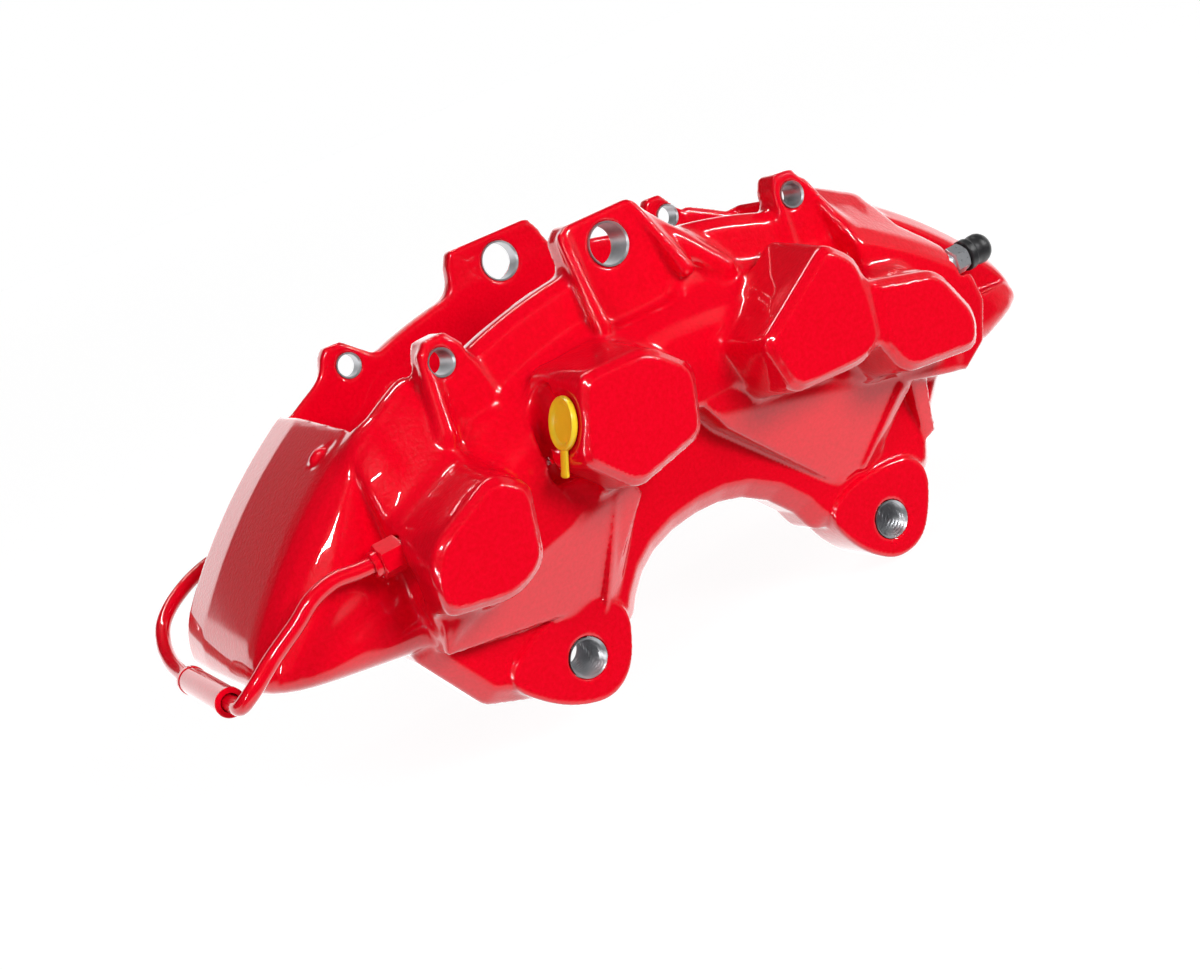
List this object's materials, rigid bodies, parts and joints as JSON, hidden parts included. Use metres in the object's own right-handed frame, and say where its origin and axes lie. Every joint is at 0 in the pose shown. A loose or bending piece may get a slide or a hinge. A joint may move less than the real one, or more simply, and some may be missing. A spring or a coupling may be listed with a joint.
{
  "type": "fixed opposed-piston brake caliper",
  "caption": "Fixed opposed-piston disc brake caliper, gloss red, with crossover pipe, bleed screws, pistons, pad window and threaded mounting ears.",
  "frame": {"origin": "middle of the underside of the bounding box, as the caliper stands with its disc arch upright", "axes": "+X along the rim of the disc towards the bleed screws, +Y from the inboard side to the outboard side along the disc axis, +Z outward from the disc axis"},
  "size_m": [0.3692, 0.188, 0.1733],
  "materials": {
    "red_paint": "gloss red enamel over cast aluminium",
    "painted_steel": "gloss red enamel over steel",
    "piston_metal": "hard anodised, fine turned",
    "seal_rubber": "smooth moulded",
    "boot_rubber": "matt moulded",
    "cap_rubber": "satin moulded",
    "zinc_steel": "clear zinc plate",
    "stainless_plate": "rolled stainless sheet",
    "yellow_plastic": "semi-gloss moulded"
  },
  "bodies": {
    "caliper": {"caliper_body": "red_paint", "piston_seal_inboard_1": "seal_rubber", "dust_boot_inboard_1": "boot_rubber", "piston_seal_inboard_2": "seal_rubber", "dust_boot_inboard_2": "boot_rubber", "piston_seal_inboard_3": "seal_rubber", "dust_boot_inboard_3": "boot_rubber", "piston_seal_inboard_4": "seal_rubber", "dust_boot_inboard_4": "boot_rubber", "tube_nut_inboard": "painted_steel", "abutment_plate_inboard_pipe_end": "stainless_plate", "plate_screw_inboard_pipe_end": "zinc_steel", "abutment_plate_inboard_bleeder_end": "stainless_plate", "plate_screw_inboard_bleeder_end": "zinc_steel", "piston_seal_outboard_1": "seal_rubber", "dust_boot_outboard_1": "boot_rubber", "piston_seal_outboard_2": "seal_rubber", "dust_boot_outboard_2": "boot_rubber", "piston_seal_outboard_3": "seal_rubber", "dust_boot_outboard_3": "boot_rubber", "piston_seal_outboard_4": "seal_rubber", "dust_boot_outboard_4": "boot_rubber", "tube_nut_outboard": "painted_steel", "abutment_plate_outboard_pipe_end": "stainless_plate", "plate_screw_outboard_pipe_end": "zinc_steel", "abutment_plate_outboard_bleeder_end": "stainless_plate", "plate_screw_outboard_bleeder_end": "zinc_steel", "crossover_pipe": "painted_steel", "pipe_sleeve": "painted_steel"},
    "piston_inboard_1_body": {"piston_inboard_1": "piston_metal"},
    "piston_inboard_2_body": {"piston_inboard_2": "piston_metal"},
    "piston_inboard_3_body": {"piston_inboard_3": "piston_metal"},
    "piston_inboard_4_body": {"piston_inboard_4": "piston_metal"},
    "bleed_screw_inboard_body": {"bleed_screw_inboard": "zinc_steel"},
    "bleeder_cap_inboard_body": {"bleeder_cap_inboard": "cap_rubber"},
    "piston_outboard_1_body": {"piston_outboard_1": "piston_metal"},
    "piston_outboard_2_body": {"piston_outboard_2": "piston_metal"},
    "piston_outboard_3_body": {"piston_outboard_3": "piston_metal"},
    "piston_outboard_4_body": {"piston_outboard_4": "piston_metal"},
    "bleed_screw_outboard_body": {"bleed_screw_outboard": "zinc_steel"},
    "bleeder_cap_outboard_body": {"bleeder_cap_outboard": "cap_rubber"},
    "inlet_plug_body": {"inlet_plug": "yellow_plastic"}
  },
  "joints": [
    {"name": "piston_inboard_1_slide", "type": "slide", "parent": "caliper", "child": "piston_inboard_1_body", "axis": [0, 1, 0], "range_m": [0, 0.015]},
    {"name": "piston_inboard_2_slide", "type": "slide", "parent": "caliper", "child": "piston_inboard_2_body", "axis": [0, 1, 0], "range_m": [0, 0.015]},
    {"name": "piston_inboard_3_slide", "type": "slide", "parent": "caliper", "child": "piston_inboard_3_body", "axis": [0, 1, 0], "range_m": [0, 0.015]},
    {"name": "piston_inboard_4_slide", "type": "slide", "parent": "caliper", "child": "piston_inboard_4_body", "axis": [0, 1, 0], "range_m": [0, 0.015]},
    {"name": "bleed_screw_inboard_turn", "type": "hinge", "parent": "caliper", "child": "bleed_screw_inboard_body", "pos_m": [0.14759, -0.062, 0.09933], "axis": [1, 0, 0], "range_deg": [0, 270]},
    {"name": "bleeder_cap_inboard_pull", "type": "slide", "parent": "bleed_screw_inboard_body", "child": "bleeder_cap_inboard_body", "axis": [1, 0, 0], "range_m": [0, 0.02]},
    {"name": "piston_outboard_1_slide", "type": "slide", "parent": "caliper", "child": "piston_outboard_1_body", "axis": [0, -1, 0], "range_m": [0, 0.015]},
    {"name": "piston_outboard_2_slide", "type": "slide", "parent": "caliper", "child": "piston_outboard_2_body", "axis": [0, -1, 0], "range_m": [0, 0.015]},
    {"name": "piston_outboard_3_slide", "type": "slide", "parent": "caliper", "child": "piston_outboard_3_body", "axis": [0, -1, 0], "range_m": [0, 0.015]},
    {"name": "piston_outboard_4_slide", "type": "slide", "parent": "caliper", "child": "piston_outboard_4_body", "axis": [0, -1, 0], "range_m": [0, 0.015]},
    {"name": "bleed_screw_outboard_turn", "type": "hinge", "parent": "caliper", "child": "bleed_screw_outboard_body", "pos_m": [0.14759, 0.062, 0.09933], "axis": [1, 0, 0], "range_deg": [0, 270]},
    {"name": "bleeder_cap_outboard_pull", "type": "slide", "parent": "bleed_screw_outboard_body", "child": "bleeder_cap_outboard_body", "axis": [1, 0, 0], "range_m": [0, 0.02]},
    {"name": "inlet_plug_pull", "type": "slide", "parent": "caliper", "child": "inlet_plug_body", "axis": [-0.9272, 0, 0.3746], "range_m": [0, 0.015]}
  ]
}
